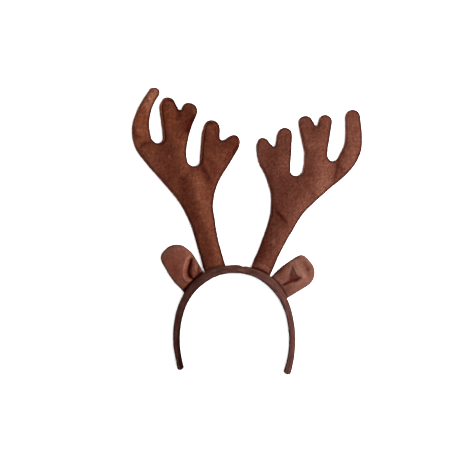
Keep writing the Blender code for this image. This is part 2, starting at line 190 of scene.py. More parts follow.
def make_stage():
    """A white world, two soft lights and a pale floor."""
    scene = bpy.context.scene
    scene.view_settings.view_transform = "Standard"
    world = bpy.data.worlds.new("world")
    world.use_nodes = True
    background = {"Color": (1.0, 1.0, 1.0, 1.0), "Strength": WORLD_STRENGTH}
    feed(world.node_tree.nodes["Background"], background)
    scene.world = world
    for name, place, size, power, colour in LIGHTS:
        data = bpy.data.lights.new(name, "AREA")
        data.shape = "DISK"
        data.size = size
        data.energy = power
        data.color = colour
        light = placed(name, data)
        light.location = place
        aim = Vector(LIGHT_AIM) - Vector(place)
        light.rotation_euler = aim.to_track_quat("-Z", "Y").to_euler()
    mesh = bpy.data.meshes.new("floor")
    corners = [(x * FLOOR_HALF, y * FLOOR_HALF, 0) for x, y in ((-1, -1), (1, -1), (1, 1), (-1, 1))]
    mesh.from_pydata(corners, [], [(0, 1, 2, 3)])
    floor = placed("floor", mesh)
    floor.location.z = -FLOOR_DROP
    material = bpy.data.materials.new("pale_floor")
    material.use_nodes = True
    dull = {"Base Color": FLOOR_COLOUR, "Roughness": 0.9, "Specular IOR Level": 0.1}
    feed(material.node_tree.nodes["Principled BSDF"], dull)
    mesh.materials.append(material)


# Outlines


def closed(line):
    """A line with its first point added at its end."""
    return np.concatenate((line, line[:1]))


def step_lengths(line):
    return np.linalg.norm(np.diff(line, axis=0), axis=1)


def way_along(line):
    """The length of the way along a line to each of its points."""
    return np.concatenate(([0], np.cumsum(step_lengths(line))))


def read_along(wanted, stations, rows):
    """Rows of values given at stations along a line, read at the wanted ones."""
    return np.column_stack([np.interp(wanted, stations, column) for column in rows.T])


def bell(away, width):
    """1 on a line, and falling off to its sides over the width."""
    return np.exp(-((away / width) ** 2))


def outline_of(node):
    """The corners round a padded CAD node as rows of x, y, middle height and thickness.

    Corners above each other are matched on a grid of 0.01 mm.
    """
    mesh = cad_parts[node].data
    co = np.array([vertex.co for vertex in mesh.vertices])
    keys = [tuple(key) for key in np.round(co[:, :2] * 1e5).astype(int).tolist()]
    heights = {}
    for key, height in zip(keys, co[:, 2]):
        heights.setdefault(key, []).append(height)
    edges = set()  # of the faces that look up
    for face in mesh.polygons:
        if face.normal.z > 0.02:
            corners = [keys[i] for i in face.vertices]
            edges.update(zip(corners, corners[1:] + corners[:1]))
    follow = {a: b for a, b in edges if (b, a) not in edges}
    key = min(follow)
    rows = []
    for _ in follow:
        low, high = min(heights[key]), max(heights[key])
        rows.append((key[0] * 1e-5, key[1] * 1e-5, (low + high) / 2, high - low))
        key = follow[key]
    return np.array(rows)


def middle_line(loop):
    """Rising levels along Y and the height of a piece's middle at each, where it isn't thin."""
    whole = loop[loop[:, 3] > 0.001]
    order = np.argsort(whole[:, 1])
    return whole[order, 1], whole[order, 2]


def smooth_line(points, step):
    """Points a step apart on a smooth curve through the given ones."""
    lengths = step_lengths(points)
    along = way_along(points)
    slope = np.gradient(points, along, axis=0)
    wanted = np.linspace(0, along[-1], 1 + max(2, round(along[-1] / step)))
    row = np.clip(np.searchsorted(along, wanted, side="right") - 1, 0, len(along) - 2)
    length = lengths[row][:, None]
    t = ((wanted - along[row]) / lengths[row])[:, None]
    return (
        (1 + 2 * t) * (1 - t) ** 2 * points[row]
        + t * (1 - t) ** 2 * length * slope[row]
        + t * t * (3 - 2 * t) * points[row + 1]
        + t * t * (t - 1) * length * slope[row + 1]
    )


def split_at_seat(loop):
    """The free edge and the seat edge of an outline, each from corner to corner, clockwise."""
    xy = loop[:, :2]
    if np.sum(xy[:, 0] * np.roll(xy[:, 1], -1) - np.roll(xy[:, 0], -1) * xy[:, 1]) > 0:
        xy = xy[::-1]
    ahead = (np.roll(xy, -1, axis=0) - xy) @ (1, 1j)
    turn = np.abs(np.angle(ahead / np.roll(ahead, 1)))
    first, second = sorted(np.argsort(turn)[-2:])
    one = xy[first : second + 1]
    other = np.concatenate((xy[second:], xy[: first + 1]))
    return (one, other) if len(one) > len(other) else (other, one)


def nearest(points, line):
    """Distance from each point to a line given as its corners, and how far along it that is."""
    start = line[:-1]
    run = line[1:] - start
    square = (run**2).sum(axis=1)
    lengths = np.sqrt(square)
    before = np.concatenate(([0], np.cumsum(lengths)[:-1]))
    distance, along = np.empty((2, len(points)))
    for low in range(0, len(points), 2000):
        rows = slice(low, low + 2000)
        part = points[rows]
        share = np.clip(((part[:, None] - start) * run).sum(axis=2) / square, 0, 1)
        away = np.linalg.norm(part[:, None] - start - share[:, :, None] * run, axis=2)
        best = away.argmin(axis=1)
        index = np.arange(len(part))
        distance[rows] = away[index, best]
        along[rows] = before[best] + share[index, best] * lengths[best]
    return distance, along


def inside(points, outline):
    """Whether each point lies inside the closed outline."""
    x, y = points[:, :1], points[:, 1:]
    x0, y0 = outline.T
    x1, y1 = np.roll(outline, -1, axis=0).T
    rising = (y0 > y) != (y1 > y)
    with np.errstate(divide="ignore", invalid="ignore"):
        crossing = x < x0 + (y - y0) * (x1 - x0) / (y1 - y0)
    return (rising & crossing).sum(axis=1) % 2 == 1


def rows_and_spread(outline, insets, row_step, spread_step):
    """Points inside an outline: rows that follow it, then an even spread."""
    inward = -outward_of(outline)
    found = []
    for inset in insets:
        row = outline + inset * inward
        row = row[inside(row, outline)]
        row = row[nearest(row, closed(outline))[0] > 0.985 * inset]
        kept = [row[0]]
        for point in row[1:]:
            if np.linalg.norm(point - kept[-1]) > 0.55 * row_step:
                kept.append(point)
        found.append(np.array(kept))
    low, high = outline.min(axis=0), outline.max(axis=0)
    spread = []
    for i, y in enumerate(np.arange(low[1], high[1], spread_step * math.sqrt(3) / 2)):
        xs = np.arange(low[0] + (i % 2) * spread_step / 2, high[0], spread_step)
        spread.append(np.column_stack((xs, np.full(len(xs), y))))
    spread = np.concatenate(spread)
    spread = spread[inside(spread, outline)]
    spread = spread[nearest(spread, closed(outline))[0] > insets[-1] + 0.5 * spread_step]
    return np.concatenate((*found, spread))


def waves(points, wavelength, seed, count=24):
    """A smooth random field of about unit size, with bumps about a wavelength apart."""
    rng = np.random.default_rng(seed)
    total = np.zeros(len(points))
    for _ in range(count):
        number = 2 * math.pi / (wavelength * rng.uniform(0.7, 1.5))
        direction = rng.normal(size=points.shape[1])
        direction /= np.linalg.norm(direction)
        total += np.cos(points @ direction * number + rng.uniform(0, 2 * math.pi))
    return total * math.sqrt(2 / count)


def waves_along(along, wavelength, seed):
    """The same along a line."""
    count = 16
    rng = np.random.default_rng(seed)
    total = np.zeros(len(along))
    for _ in range(count):
        number = 2 * math.pi / (wavelength * rng.uniform(0.6, 1.6))
        total += np.cos(along * number + rng.uniform(0, 2 * math.pi))
    return total * math.sqrt(2 / count)


def at_stations(outline, values, along):
    """Values given at the corners of a closed outline, read at any lengths along it."""
    return np.interp(along, way_along(closed(outline)), np.append(values, values[0]))


def sampled(field, low, spacing, points):
    """A field on a square grid, read at any points."""
    place = (points - low) / spacing
    cell = np.clip(np.floor(place).astype(int), 0, np.array(field.shape) - 2)
    share = np.clip(place - cell, 0, 1)
    i, j = cell.T
    u, v = share.T
    near = field[i, j] * (1 - u) + field[i + 1, j] * u
    far = field[i, j + 1] * (1 - u) + field[i + 1, j + 1] * u
    return near * (1 - v) + far * v


def stuffed(outline, insets, fullness):
    """A function that gives a stuffed body's height, from 0 at its seam towards 1 where it is wide.

    A skin that is held along the outline, drawn in by the insets, and pressed from inside.
    """
    spacing = SKIN_GRID
    low = outline.min(axis=0) - 2 * spacing
    shape = np.ceil((outline.max(axis=0) + 2 * spacing - low) / spacing).astype(int) + 1
    grid = np.stack(np.meshgrid(*(np.arange(n) for n in shape), indexing="ij"), axis=-1)
    places = low + grid.reshape(-1, 2) * spacing
    edge, along = nearest(places, closed(outline))
    room = np.where(inside(places, outline), edge, 0) - at_stations(outline, insets, along)
    room = np.clip(room / spacing, 0, 1).reshape(shape)
    skin = np.zeros(shape)
    for _ in range(SKIN_ROUNDS):
        around = skin[2:, 1:-1] + skin[:-2, 1:-1] + skin[1:-1, 2:] + skin[1:-1, :-2]
        skin[1:-1, 1:-1] = room[1:-1, 1:-1] * (around + spacing**2) / 4

    def height(points):
        width = np.sqrt(2 * sampled(skin, low, spacing, points) + SEAM_SOFTNESS**2)
        return 1 - np.exp(-1.4 * (width - SEAM_SOFTNESS) / fullness)

    return height


def dome(share):
    """Rises like a quarter circle from 0 to 1."""
    return np.sqrt(1 - (1 - np.clip(share, 0, 1)) ** 2)


def eased(share):
    """Rises smoothly from 0 to 1, level at both ends."""
    share = np.clip(share, 0, 1)
    return share * share * (3 - 2 * share)


def nudged(line, nudges):
    """An outline with short stretches moved, in pixels of the photograph.

    The rows are the reach, the shift to the right and down, and the line that is moved.
    """
    moved = line.copy()
    for reach, right, down, *pixels in nudges:
        away, _ = nearest(line, line_at(pixels))
        moved += bell(away, reach * PIXEL)[:, None] * np.array((right, down)) * (PIXEL, -PIXEL)
    return moved


def stroke_field(points, strokes, haze):
    """Tone and haze of the cloth at each point: strokes of painted shade and highlight, partly the
    lie of its nap, and haze, which greys it as painted sheen and, below zero, reddens its painted
    shadows.

    The rows are the width in millimetres, the tone there in percent, or a pair of it and what is
    added to the haze, and the line.
    """
    tone = np.ones(len(points))
    haze = np.full(len(points), haze)
    for width, mark, *pixels in strokes:
        percent, added = mark if isinstance(mark, tuple) else (mark, 0)
        share = bell(nearest(points, line_at(pixels))[0], width * MM)
        tone *= 1 + (percent / 100 - 1) * share
        haze += added * share
    return tone, haze


def dent_field(points, dents):
    """Depth of the surface at each point from all the dents, and the painted shade each puts in its
    hollow there.

    The rows are the depth and half the slope's width at the rim in millimetres, the darkness of the
    painted shade and the rim.
    """
    depth = np.zeros(len(points))
    shade = np.zeros(len(points))
    for deep, soft, dark, *pixels in dents:
        rim = line_at(pixels)
        away = nearest(points, closed(rim))[0] * np.where(inside(points, rim), 1, -1)
        share = eased(0.5 + away / (2 * soft * MM))
        depth = np.maximum(depth, deep * MM * share)
        shade = np.maximum(shade, dark * share)
    return depth, shade


def fold_field(points, folds):
    """Rise of the surface at each point from all the folds, and the painted shade each puts in its
    crease there.

    The rows are the width and the rise in millimetres, the darkness of the painted shade and the
    line, near whose ends a fold fades.
    """
    rise = np.zeros(len(points))
    shade = np.zeros(len(points))
    for width, high, dark, *pixels in folds:
        line = smooth_line(line_at(pixels), 0.001)
        away, along = nearest(points, line)
        length = step_lengths(line).sum()
        fade = eased(along / (0.2 * length)) * eased((length - along) / (0.2 * length))
        shape = bell(away, width * MM)
        rise += high * MM * shape * (0.25 + 0.75 * fade)
        shade += dark * shape * (0.2 + 0.8 * fade)
    return rise, shade


# Mesh objects


def add_piece(name, slot, material, vertices, faces, tone, haze, node=None):
    """A piece with its tone and haze at each vertex, in place of a CAD node if one is given."""
    mesh = bpy.data.meshes.new(name)
    mesh.from_pydata([tuple(v) for v in vertices], [], faces)
    mesh.materials.append(material)
    for title, values in (("tone", tone), ("haze", haze)):
        attribute = mesh.attributes.new(title, "FLOAT", "POINT")
        attribute.data.foreach_set("value", np.asarray(values, dtype=np.float32))
    clean = bmesh.new()
    clean.from_mesh(mesh)
    bmesh.ops.recalc_face_normals(clean, faces=clean.faces)
    clean.to_mesh(mesh)
    clean.free()
    mesh.shade_smooth()
    piece = placed(name, mesh)
    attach(piece, "root")
    if node:
        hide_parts(node)
    return piece


def outward_of(outline):
    """The outward direction at each point of a clockwise outline."""
    ahead = np.roll(outline, -1, axis=0) - np.roll(outline, 1, axis=0)
    outward = np.column_stack((-ahead[:, 1], ahead[:, 0]))
    return outward / np.linalg.norm(outward, axis=1)[:, None]


def sewn_outline(node, step, nudges):
    """The free edge, the seat and the whole outline of a piece, and its middle heights."""
    loop = outline_of(node)
    free, seat = split_at_seat(loop)
    free = nudged(smooth_line(free, step), nudges)
    seat = smooth_line(seat, step)
    seat[0], seat[-1] = free[-1], free[0]
    return free, seat, np.concatenate((free[:-1], seat[:-1])), middle_line(loop)


def close_pillow(outline, free_count, sheets, faces, seam_reach, edge, haze):
    """Vertices, faces, tones and hazes of a front and a back sheet joined round the outline.

    The sheets are their places with the outline's first, the heights and tones of front and back,
    and the haze of the front. The outline's points from free_count on are sewn to the hoop.
    """
    places, front, back, tone, back_tone, front_haze = sheets
    count = len(outline)
    total = len(places)
    places[free_count:count] += seam_reach * outward_of(outline)[free_count:]
    rim = places[:count]
    outward = outward_of(rim)
    vertices = [np.column_stack((places, front)), np.column_stack((places, back))]
    for push, share, _ in edge:
        height = back[:count] + share * (front[:count] - back[:count])
        vertices.append(np.column_stack((rim + push * outward, height)))
    result = faces + [[total + i for i in reversed(face)] for face in faces]
    levels = [0] + [2 * total + row * count for row in range(len(edge))] + [total]
    for upper, lower in zip(levels, levels[1:]):
        for i in range(count):
            j = (i + 1) % count
            result.append((upper + j, upper + i, lower + i, lower + j))
    tones = np.concatenate((tone, back_tone, np.repeat([row[2] for row in edge], count)))
    hazes = np.concatenate((front_haze, np.full(len(tones) - total, haze)))
    return np.concatenate(vertices), result, tones, hazes


def tube_faces(first, rings, sides):
    """Faces of a closed tube whose rings of vertices start at the vertex first."""
    faces = []
    for a in range(first, first + (rings - 1) * sides, sides):
        for i in range(sides):
            j = (i + 1) % sides
            faces.append((a + i, a + j, a + sides + j, a + sides + i))
    last = first + (rings - 1) * sides
    faces.append(tuple(range(first + sides - 1, first - 1, -1)))
    faces.append(tuple(range(last, last + sides)))
    return faces


def triangulate(outline, inner):
    """Points and triangles of a flat sheet with the outline's points first."""
    flat = np.concatenate((outline, inner))
    count = len(outline)
    seam = [(i, (i + 1) % count) for i in range(count)]
    places, _, faces, _, _, _ = delaunay_2d_cdt([Vector(p) for p in flat], seam, [], 1, 1e-7)
    return np.array(places), [list(face) for face in faces]


# Materials

NOISE_ROUGHNESS = 0.55
BROAD_SHARE = 0.16  # of the grain's frequency, for the mottling
RAMP_ENDS = (0.32, 0.68)
BUMP_STRENGTH = 0.6
SHEEN = 0.02
SHEEN_ROUGHNESS = 0.6
SHEEN_TINT = (1.0, 0.62, 0.5, 1.0)
DEEPEST = 0.6  # tone below which green and blue fall off faster still


def cloth_material(name, dark, light, deepening, greying, grain, streak, shares, roughness, bump):
    """A fibrous cloth: two tones mixed by grain, streaks and mottling, shaded by the piece's tone.

    The shares are those of the grain, the streaks and the mottling. Deepening holds the powers of
    the tone for green and blue, and that for both of them in the darkest folds. Greying holds what
    haze adds to green and blue.
    """
    material = bpy.data.materials.new(name)
    material.use_nodes = True
    nodes = material.node_tree.nodes

    def made(kind, inputs, output=0, **settings):
        """The output of a new node."""
        node = nodes.new("ShaderNode" + kind)
        for title, value in settings.items():
            setattr(node, title, value)
        feed(node, inputs)
        return node.outputs[output]

    def noise(scale, detail, turn=0.0, stretch=(1, 1, 1)):
        place = made("Mapping", {"Vector": where, "Rotation": (0, 0, turn)})
        place = made("Mapping", {"Vector": place, "Scale": stretch})
        looks = {"Scale": scale, "Detail": detail, "Roughness": NOISE_ROUGHNESS}
        return made("TexNoise", {"Vector": place, **looks}, "Fac")

    def maths(operation, first, second):
        return made("Math", {0: first, 1: second}, operation=operation)

    where = made("TexCoord", {}, "Object")
    fine = noise(1 / grain, 3)
    lines = noise(1 / grain, 2, *streak)
    broad = noise(BROAD_SHARE / grain, 2)
    parts = [maths("MULTIPLY", *pair) for pair in zip((fine, lines, broad), shares)]
    mixed = maths("ADD", maths("ADD", parts[0], parts[1]), parts[2])
    colour = made("ValToRGB", {"Fac": mixed}, "Color")
    for end, place, shade in zip(colour.node.color_ramp.elements, RAMP_ENDS, (dark, light)):
        end.position = place
        end.color = (*shade, 1)
    tone = made("Attribute", {}, "Fac", attribute_name="tone")
    haze = made("Attribute", {}, "Fac", attribute_name="haze")
    # Where the tone is darker, mostly from painted shade, the cloth is also redder, and where haze
    # adds painted sheen it is greyer
    low = maths("MINIMUM", maths("DIVIDE", tone, DEEPEST), 1.0)
    low = maths("POWER", low, deepening[2])
    levels = {0: tone}
    for number, power, share in zip((1, 2), deepening, greying):
        level = maths("MULTIPLY", maths("POWER", tone, power), low)
        levels[number] = maths("MULTIPLY", level, maths("ADD", maths("MULTIPLY", haze, share), 1.0))
    deep = made("CombineColor", levels)
    mix = {"Factor": 1.0, "A": colour, "B": deep}
    shaded = made("Mix", mix, "Result", data_type="RGBA", blend_type="MULTIPLY")
    relief = {"Strength": BUMP_STRENGTH, "Distance": bump, "Height": maths("ADD", fine, lines)}
    feed(nodes["Principled BSDF"], {
        "Base Color": shaded,
        "Normal": made("Bump", relief, "Normal"),
        "Roughness": roughness,
        "Sheen Weight": SHEEN,
        "Sheen Roughness": SHEEN_ROUGHNESS,
        "Sheen Tint": SHEEN_TINT,
        "Specular IOR Level": 0.0,
    })
    return material


# Turn and stretch of the streaks
DIAGONAL = (math.radians(-60), (0.35, 1, 1))
EVEN = (0.0, (1, 1, 1))
FELT = cloth_material(
    "brown_felt", (0.0150, 0.0030, 0.0014), (0.0780, 0.0222, 0.0121), (1.32, 1.38, 1.4),
    (0.16, 0.38), 0.0011, DIAGONAL, (0.5, 0.42, 0.08), 0.95, 0.0003
)
VELOUR = cloth_material(
    "brown_velour", (0.046, 0.0130, 0.0079), (0.108, 0.0385, 0.0265), (1.2, 1.38, 1.2),
    (0.15, 0.22), 0.0011, DIAGONAL, (0.4, 0.4, 0.2), 0.9, 0.0002
)
BAND = cloth_material(
    "dark_brown_fabric", (0.022, 0.0076, 0.0056), (0.058, 0.0252, 0.0210), (1.25, 1.35, 0.0),
    (0.15, 0.22), 0.0010, EVEN, (0.5, 0.3, 0.2), 0.8, 0.00015
)
THREAD = cloth_material(
    "brown_thread", (0.010, 0.0018, 0.0009), (0.022, 0.0050, 0.0028), (1.2, 1.3, 0.0),
    (0.15, 0.22), 0.0004, EVEN, (0.5, 0.3, 0.2), 0.8, 0.00005
)

# Antlers

LEFT_FOLDS = (
    (4.5, 1.6, 0, 132, 96, -1, 14, 0, 15, 5, 15),
    (1.4, -1, 0.7, 133, 133, 3, 3, 4, 1.5, 4, -0.5),
    (1.8, 0.5, -0.25, 134, 129, 4, 2, 5, 0),
    (1.5, -0.9, 0.7, 140, 147, 4, -3.4, 4, -1.2, 4, 1.2),
    (1.4, -1, 0.6, 180, 110, 0.5, 5, -0.5, 6),
    (1.1, -0.4, 0.5, 176, 107.5, 1.3, 4.5, 1.7, 4),
    (1.3, -0.6, 0.5, 213.6, 127, 2, 6, 1, 7),
    (7, 1.2, 0, 196, 165, 1, 15, 3, 20, 7, 35, 6, 27),
    (2.2, -1.6, 0.4, 200.5, 165, 4.5, 7, 4, 8, 4.5, 6),
    (6, -1, 0.15, 189, 170, -0.5, 12, 2.5, 16, 5, 22),
)
RIGHT_FOLDS = (
    (1.4, -1.4, 0.8, 338, 161, -1.4, 7, -1.8, 8, -2.6, 8),
    (6, -0.9, 0.2, 302, 157, 6, 9, 3, 12),
    (1.6, -1.4, 0.8, 273, 208.5, 6.6, 6.9, 4.4, 4.6, 3.5, 5),
    (9, 0.8, 0, 320, 165, 2, 17, -10, 18, -12, 14),
)
LEFT_NUDGES = (
    (5, -0.95, -0.45, 150, 90, -6, 8, -5, 9), (4, 0.8, -0.1, 158, 90, -0.5, 4),
    (5, 0.8, -0.2, 149, 131, 2, 9), (3, 0, -0.5, 153, 143, 4, 0),
    (2.5, 0.2, 0.5, 158.5, 143, 2.5, -1.5), (2, 0.4, -0.4, 151.5, 141, 1.5, 2),
    (2.5, 0.4, 0.4, 196.5, 165.5, 2.5, -2), (3, -0.4, 0, 149, 128, 0.5, 4),
    (5, 0.8, 0, 161.5, 131, 0, 7), (3, 0.6, 0.4, 161, 101, 1, -2), (4, -0.6, 0, 159.5, 108, 0.5, 6),
    (3, 0.4, -0.2, 174, 100, 3, 6), (1.6, -0.4, 0.1, 182.2, 108, 0.4, -1.2),
    (1.6, 0.3, 0.1, 177.6, 108.6, -0.6, -1.2), (3, -0.6, -0.7, 183, 105.5, 5, -2),
    (6, 0.9, 0.1, 194, 118, -4, 9, -3, 11), (4, 0.2, 0, 191, 123, -1.5, 8),
    (3.5, -0.6, 0, 239.5, 139, 0, 7), (3, -0.35, 0, 201.5, 261, 2, 7),
    (3, -0.35, 0, 222, 254, 1.5, 8), (5, 0.4, -0.2, 186, 146, 0, 12, 3, 6),
    (4, 0.6, 0.4, 202.5, 127, 1.5, -3), (6, -0.4, 0, 201, 140, -1, 15),
    (6, 0.85, 0.3, 237, 147, -5, 9, -8, 12, -7, 14, -4, 16),
    (8, -0.3, 0.25, 150, 168, 15, 18, 13, 15), (7, -0.5, 0.2, 186, 213, 6, 17, 5, 20),
    (6, 0.35, -0.1, 216, 236, 3, 12, 3, 12), (5, -0.35, 0, 213, 195, 1, 11, 1.6, 20),
    (5, 0.4, 0.3, 238, 148, -5, 8, -7, 11),
)
RIGHT_NUDGES = (
    (3, 0.6, -0.1, 257.5, 140, 0, 2), (3, 0, -0.5, 260, 138.5, 4, 0),
    (6, -0.95, 0.2, 261, 166, 4, 10, 3, 8), (3, 0.8, -0.4, 267, 141, 3, 4),
    (3, -0.3, 0, 275.5, 144, 1.5, -8), (1.8, 0.7, -0.3, 271.4, 147, -1, -1),
    (6, 0.6, 0, 291, 133, -0.5, 17, -1.5, 16), (3.5, -0.5, -0.7, 303, 170, -3, 4, -5, 2),
    (5, 1, 0, 302.5, 154, 0, 9), (5, -0.5, 0, 300.5, 136, 1, 7), (4, 0.5, -0.1, 309, 117, 3, 5),
    (3, 0, -0.1, 302, 116, 4, 0), (1.8, -0.5, 0, 317.3, 124.6, 0.7, -1.6),
    (1.8, 0.6, -0.2, 313.4, 124.6, -0.8, -1.2), (6, 0.8, 0, 330, 122, -1, 10, -2, 10),
    (4, 1.1, -0.4, 325.5, 152, 1.5, 6), (6, 0.25, 0, 359.5, 119, 1.5, 10),
    (8, 0.72, 0.72, 359, 150, -3, 7, -6, 10, -12, 11, -13, 12, -13, 12),
    (6, 1.15, 0.3, 268, 214, -5, 18), (4, 0.4, 0.1, 261, 243, -3.5, 9),
    (3, 0.45, 0.1, 268.5, 221, -1.5, 6), (3.5, -0.35, 0, 291.5, 134, 0, 9),
    (4, 0.3, 0, 290, 156, -0.5, 10), (3, 0.5, 0.1, 271, 266, -1.5, 7),
    (3.5, 0.35, 0.25, 344.5, 146, -4.5, 8, -4, 5), (4, 0.4, 0.5, 344, 173, -8, 7),
    (8, -0.8, -0.3, 286, 239, -7, 16),
)
EAR_LEFT_NUDGES = (
    (4, 0.6, 0.3, 161, 257, 4, -7), (7, -0.7, 0.5, 164, 266, 12, 16),
    (3, -0.5, 0.5, 186, 247.5, 3, 2.5),
)
EAR_RIGHT_NUDGES = ((5, -0.3, -0.4, 276, 271, 9, -8, 7, -4.5),)
# Where the left antler's seam allowance is wide
LEFT_WIDE = (
    (159.5, 105, 0.5, 15, 2.5, 19), (163, 100, 5, -2, 4, 1.5), (202, 129, -0.5, 16, 0, 15),
    (207, 122, 6, -2), (238, 140, -1, 6, -4, 7),
)
# Strokes of painted shade and highlight, partly the lie of the nap, and a few light specks of lint
LEFT_STROKES = (
    (7.2, (230, 0.3), 156, 90, -5, 7, -4, 7), (1.6, 72, 146.6, 98, 1, 2.5),
    (1.2, 130, 150.3, 98, 0.3, 1.5), (1.4, 85, 153, 91.5, 0.5, 2.5), (1.6, 86, 144, 106, -1, 4),
    (0.9, (190, 1), 169.4, 156.6, 0.2, 0.4), (1, (170, 1), 152.6, 151, 1.4, 0),
    (8.5, (140, -0.6), 143, 111, -3, 13, 2, 12), (1.1, 78, 134, 133.5, 3, 2.7, 4, 1.1),
    (2.4, 122, 133, 117, -0.6, 11, 2.1, 16), (1.3, 135, 160.3, 105, 2.1, -4, 3.6, -2.2),
    (1.2, 170, 238.6, 139, -0.4, 6), (1.3, 70, 141, 147, 3, -3, 5, -1.5),
    (1.8, 112, 138, 129.5, 4, 1.5), (1, 66, 180.4, 110.5, -0.1, 5.5),
    (0.9, 75, 176, 107, 1.5, 5, 1.5, 4), (0.7, 60, 134.2, 119, -0.2, 8, 0.6, 6),
    (4.5, 130, 137, 141, 10, 14, 10, 15), (2.8, 78, 137, 138.5, 6, 6.5),
    (7, (115, -0.6), 167, 110, 2, 12), (5, 88, 167, 128, 3, 8), (2.2, 70, 172, 100, 4, 7, 2.5, 4),
    (2.2, 72, 179.5, 111, -1.5, 7), (6.2, 60, 189, 112, -1, 7, -2, 9),
    (2.2, 50, 194, 115, -3, 7, -3.5, 9), (1.6, 150, 196, 110, -1, 7),
    (9.5, 76, 165, 147, 4, 13, 3, 14), (4.5, 122, 184, 141, 0, 15, 4, 11),
    (2.8, 80, 192, 170, 10, -1), (6, 57, 184, 180, 1, 13, 5, 14, 4, 9),
    (6.5, 76, 198, 222, 5, 15, 3, 13, 1, 15), (7, 142, 197, 180, 2, 12, 4, 14, 4, 12),
    (4.5, 122, 210, 226, 4, 14, 4, 20), (3.2, 64, 202, 164, 3, 8, 3, 8),
    (6.5, 68, 214, 143, 10, 1, 10, 0), (3.5, 80, 209, 122, 7, 4, 1, 10),
    (3.5, 82, 232, 150, -5, 10), (3.5, 82, 208, 160, 6, 10), (4, 80, 147, 102, -4, 6),
    (3, 82, 163, 104, 3, 3), (3.5, 82, 156, 166, 4, 4),
    (1.9, 175, 154, 173, 9, 10.5, 10, 11, 7, 7.5), (5, 86, 169, 153, 7, 5), (3, 86, 181, 117, 5, 6),
    (3.5, 84, 194, 203, 1, 5), (1.7, 58, 194.5, 234, 3.5, 12, 5.5, 21), (3.5, 82, 211, 252, 3, 10),
    (1.2, 60, 205, 271, 8, -2.4), (2.4, 80, 204, 264, 2, 5, 5, -1),
    (1.1, 72, 211.8, 190, 0.6, 15, 3.1, 20, 4, 20, 3.5, 17), (1.3, 85, 216.6, 122, 1.4, 6, 0, 11),
    (1.3, 125, 137.5, 108, -2.7, 10, -1, 10, 0.5, 12, 3.7, 10, 7, 8),
    (1.2, 120, 148.6, 114, -0.4, 10), (1.5, 138, 161, 102, 0.8, 10, 2.2, 13, 0.6, 10, -1.6, 5),
    (1.3, 122, 204, 125, -1, 13, 0, 20), (1.2, 125, 208, 121.5, 6, 0), (3, 120, 202.6, 184, 4.4, 3),
    (2.6, 117, 208.3, 194, 0.3, 13), (1.8, 120, 175.5, 180, 5.5, -4.5, 6, -5.5),
    (3.4, 118, 140, 131, 7, 2), (2.2, 82, 144.5, 145, 4.5, 1), (3, 116, 171, 132, 5, 4),
    (3.5, 84, 144, 110, 0, 6), (1.6, 74, 148.4, 101, 0.6, 4), (2.2, 85, 207, 235, 3, 10),
    (1.6, 122, 224.5, 150, 1.5, 8), (2.2, 84, 228, 139.5, 8, -1.5), (4, 88, 162, 162, 6, 4),
    (1.4, 125, 163, 183, 5, 6), (3, 85, 203, 172, 1, 4), (3, 88, 193, 182, 1, 4),
    (2.6, 84, 206, 148, 2, 2), (1.4, 125, 195.6, 117, -0.2, 4),
    (1.1, 150, 138, 109, -2.2, 8, -1.2, 9), (1.1, 125, 164.6, 119, 0.4, 9),
    (1.2, 130, 152.6, 101.5, 0.8, -1.5), (1.3, 74, 156.6, 90.5, 0.6, 1.5), (1, 125, 178, 112, 3, 0),
    (2.2, 114, 150, 147, 1, 4), (1.6, 114, 147, 158, 6, 2), (1, 125, 141.5, 142.5, 1, 1.5),
    (1.4, 130, 219, 265, 2.5, 1), (1.8, 84, 220, 149, 1, 1), (8.5, (98, -0.35), 172, 125, 8, 10),
    (4, 93, 224, 151, 6, 5), (3, 92, 186, 197, 4, 2),
)
